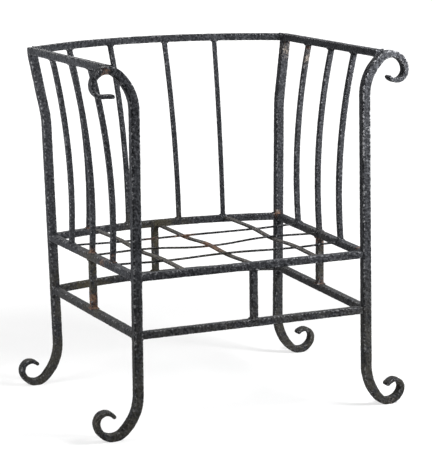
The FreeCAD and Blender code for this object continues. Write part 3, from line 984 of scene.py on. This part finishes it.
@dataclass
class SeatSlats(ForgedBars):
    """Flat slats of the seat, from front to rear."""

    names: tuple[str, ...] = ("seat_slat_left", "seat_slat_middle", "seat_slat_right")
    grain: float = 0.0009
    waves: Waves = Waves(depth=0.0002)
    dents: tuple[Dents, ...] = (Dents(depth=0.0003, size=0.005),)


@dataclass
class SeatRods(ForgedBars):
    """Round rods of the seat, woven through the slats from side to side."""

    names: tuple[str, ...] = ("seat_rod_rear", "seat_rod_middle", "seat_rod_front")
    grain: float = 0.0009
    waves: Waves = Waves(depth=0.0002)
    dents: tuple[Dents, ...] = (Dents(depth=0.0003, size=0.005),)


@dataclass
class Welds(ForgedBars):
    """Lumpy weld beads at the joints, one group of beads for each kind of joint."""

    names: tuple[str, ...] = (
        "seat_frame_welds",
        "stretcher_welds",
        "top_rail_welds",
        "strut_welds",
        "side_bar_welds",
        "back_bar_welds",
        "seat_grid_welds",
    )
    slot: Slot = Slot.WELD
    grain: float = 0.0008
    rounding: int = 2
    waves: Waves = Waves(depth=0.0003)
    dents: tuple[Dents, ...] = (Dents(depth=0.0006, size=0.0035),)


@dataclass(frozen=True)
class Lamp:
    """Soft square lamp."""

    name: str
    place: Point
    size: float
    power: float

    def hang(self, aim: Point) -> None:
        """Hang the lamp.

        Args:
            aim: point that it faces.
        """
        data = bpy.data.lights.new(self.name, "AREA")
        data.shape = "SQUARE"
        data.size = self.size
        data.energy = self.power
        lamp = bpy.data.objects.new(self.name, data)
        lamp.location = self.place
        lamp.visible_camera = False
        facing = Vector(aim) - Vector(self.place)
        lamp.rotation_euler = facing.to_track_quat("-Z", "Y").to_euler()
        bpy.context.scene.collection.objects.link(lamp)


@dataclass
class PhotoCamera:
    """Camera that stands where the photographer stood, with its angles in degrees."""

    eye: Point = (-1.703, -4.2139, 1.265)
    azimuth: float = -22.57
    elevation: float = 11.15
    roll: float = -0.98
    focal_pixels: float = 1924.3
    picture_height: float = 475.0
    sensor: float = 36.0

    def build(self) -> None:
        """Stand the camera and make it the scene's."""
        data = bpy.data.cameras.new("photo_view")
        data.sensor_width = self.sensor
        data.lens = self.focal_pixels * self.sensor / self.picture_height
        camera = bpy.data.objects.new("photo_view", data)
        camera.matrix_world = Matrix.Translation(self.eye) @ self._turn()
        bpy.context.scene.collection.objects.link(camera)
        bpy.context.scene.camera = camera

    def _turn(self) -> Matrix:
        """Work out how the camera is turned.

        Returns:
            Rotation from the camera's axes to the scene's.
        """
        side, lift, tilt = (math.radians(a) for a in (self.azimuth, self.elevation, self.roll))
        reach = math.cos(lift)
        forward = Vector((-math.sin(side) * reach, math.cos(side) * reach, -math.sin(lift)))
        level = Vector((math.cos(side), math.sin(side), 0.0))
        upright = level.cross(forward)
        right = level * math.cos(tilt) + upright * math.sin(tilt)
        up = upright * math.cos(tilt) - level * math.sin(tilt)
        return Matrix((right, up, -forward)).transposed().to_4x4()


@dataclass
class Studio:
    """Floor, soft lights and the camera."""

    floor_half: float = 30.0
    lamps: tuple[Lamp, ...] = (
        Lamp("key", (0.80, -0.80, 1.20), size=0.5, power=42.0),
        Lamp("fill", (-0.95, 0.0, 0.65), size=0.6, power=9.0),
        Lamp("top", (0.2, 0.5, 2.6), size=1.2, power=6.0),
        Lamp("back", (0.6, 2.3, 1.5), size=1.0, power=24.0),
    )
    aim: Point = (0.0, 0.0, 0.5)
    world_tint: Colour = (0.98, 0.99, 1.0, 1.0)
    world_light: float = 0.10

    def build(self) -> None:
        """Set the floor, the world, the lamps and the camera."""
        self._floor()
        self._world()
        for lamp in self.lamps:
            lamp.hang(self.aim)
        PhotoCamera().build()
        bpy.context.scene.view_settings.view_transform = "Standard"

    def _floor(self) -> None:
        """Lay the floor."""
        deselect_all()
        bpy.ops.mesh.primitive_plane_add(size=2.0 * self.floor_half, location=(0.0, 0.0, 0.0))
        floor = bpy.context.object
        floor.name = "floor"
        floor.data.materials.append(FloorFinish().build())

    def _world(self) -> None:
        """Light the world softly, and show it white to the camera and in reflections."""
        world = bpy.data.worlds.new("studio")
        bpy.context.scene.world = world
        bench = Bench(world, "ShaderNodeOutputWorld")
        dim = {"Color": self.world_tint, "Strength": self.world_light}
        soft = bench.add("ShaderNodeBackground", None, dim)
        white = bench.add("ShaderNodeBackground", None, {"Color": WHITE, "Strength": 1.0})
        values = {0: bench.seen(), 1: soft.outputs[0], 2: white.outputs[0]}
        bench.show(bench.add("ShaderNodeMixShader", None, values))


def main() -> None:
    """Build the chair and its setting."""
    logging.basicConfig(level=logging.INFO, format="%(message)s")
    Studio().build()
    bar_iron = BAR_IRON.build()
    assemblies = (
        Posts(bar_iron),
        Rails(bar_iron),
        UprightBars(bar_iron),
        SeatSlats(SLAT_IRON.build()),
        SeatRods(SHADED_ROD_IRON.build()),
        Welds(WELD_IRON.build()),
    )
    for assembly in assemblies:
        assembly.build()
        log.info("%s built", type(assembly).__name__)


if __name__ == "__main__":
    main()
